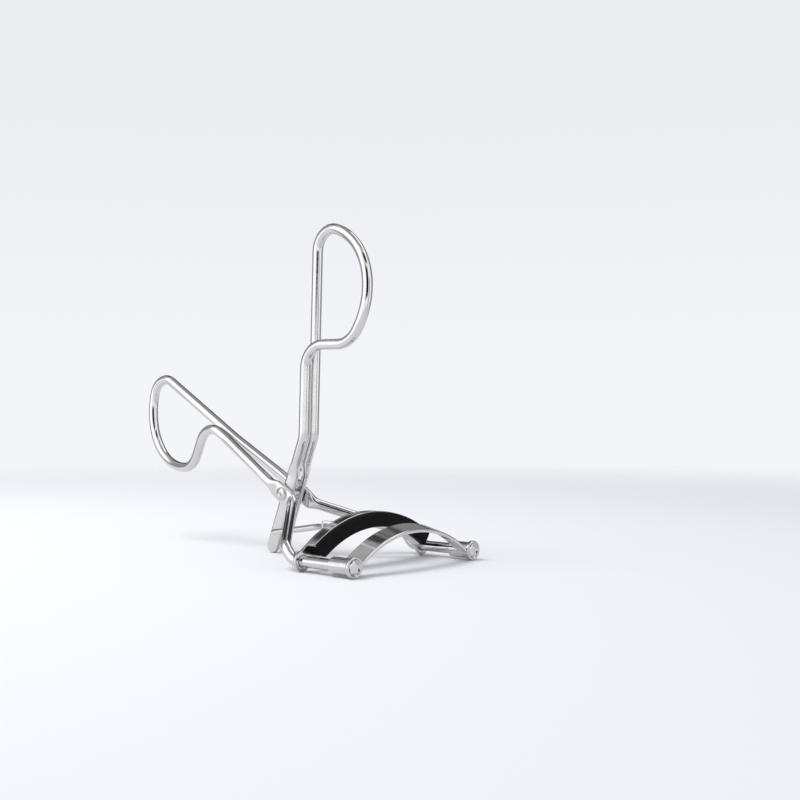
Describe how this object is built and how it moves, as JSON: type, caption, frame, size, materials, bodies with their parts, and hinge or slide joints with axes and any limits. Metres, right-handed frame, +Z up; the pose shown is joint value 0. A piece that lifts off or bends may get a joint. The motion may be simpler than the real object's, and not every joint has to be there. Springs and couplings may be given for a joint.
{
  "type": "eyelash curler",
  "caption": "Scissor-action eyelash curler: two wire finger handles on a rivet drive a sliding padded jaw along guide posts against a fixed arched jaw.",
  "frame": {"origin": "middle of the footprint on the surface that the curler stands on", "axes": "+Z up, +Y towards the rear handle, X across the jaws, with the YZ plane as the plane of symmetry"},
  "size_m": [0.0424, 0.097, 0.0765],
  "materials": {
    "chrome_wire": "mirror polished chrome plate on round steel wire",
    "chrome_sheet": "mirror polished chrome plate on formed steel sheet",
    "rivet_steel": "satin steel rivet and spacer",
    "pad_rubber": "matt black silicone rubber"
  },
  "bodies": {
    "frame": {"frame_wire": "chrome_wire", "front_jaw": "chrome_sheet", "end_collar_left": "chrome_sheet", "end_collar_right": "chrome_sheet", "pivot_rivet": "rivet_steel"},
    "lever": {"handle_lever": "chrome_wire", "pivot_spacer": "rivet_steel"},
    "link": {"link_bail": "chrome_wire"},
    "sliding_jaw": {"moving_jaw": "chrome_sheet", "lash_pad": "pad_rubber"}
  },
  "joints": [
    {"name": "handle_squeeze", "type": "hinge", "parent": "frame", "child": "lever", "pos_m": [0, -0.00954, 0.0142], "axis": [-1, 0, 0], "range_deg": [0, 41]},
    {"name": "jaw_slide", "type": "slide", "parent": "frame", "child": "sliding_jaw", "axis": [0, -1, 0], "range_m": [0, 0.00695]},
    {"name": "link_swing", "type": "hinge", "parent": "lever", "child": "link", "pos_m": [0, -0.00583, 0.00502], "axis": [-1, 0, 0], "range_deg": [-40.12, 0]}
  ],
  "couplings": [
    {"joint": "jaw_slide", "follows": "handle_squeeze", "m_per_rad": 0.009573},
    {"joint": "link_swing", "follows": "handle_squeeze", "ratio": -0.9664}
  ]
}
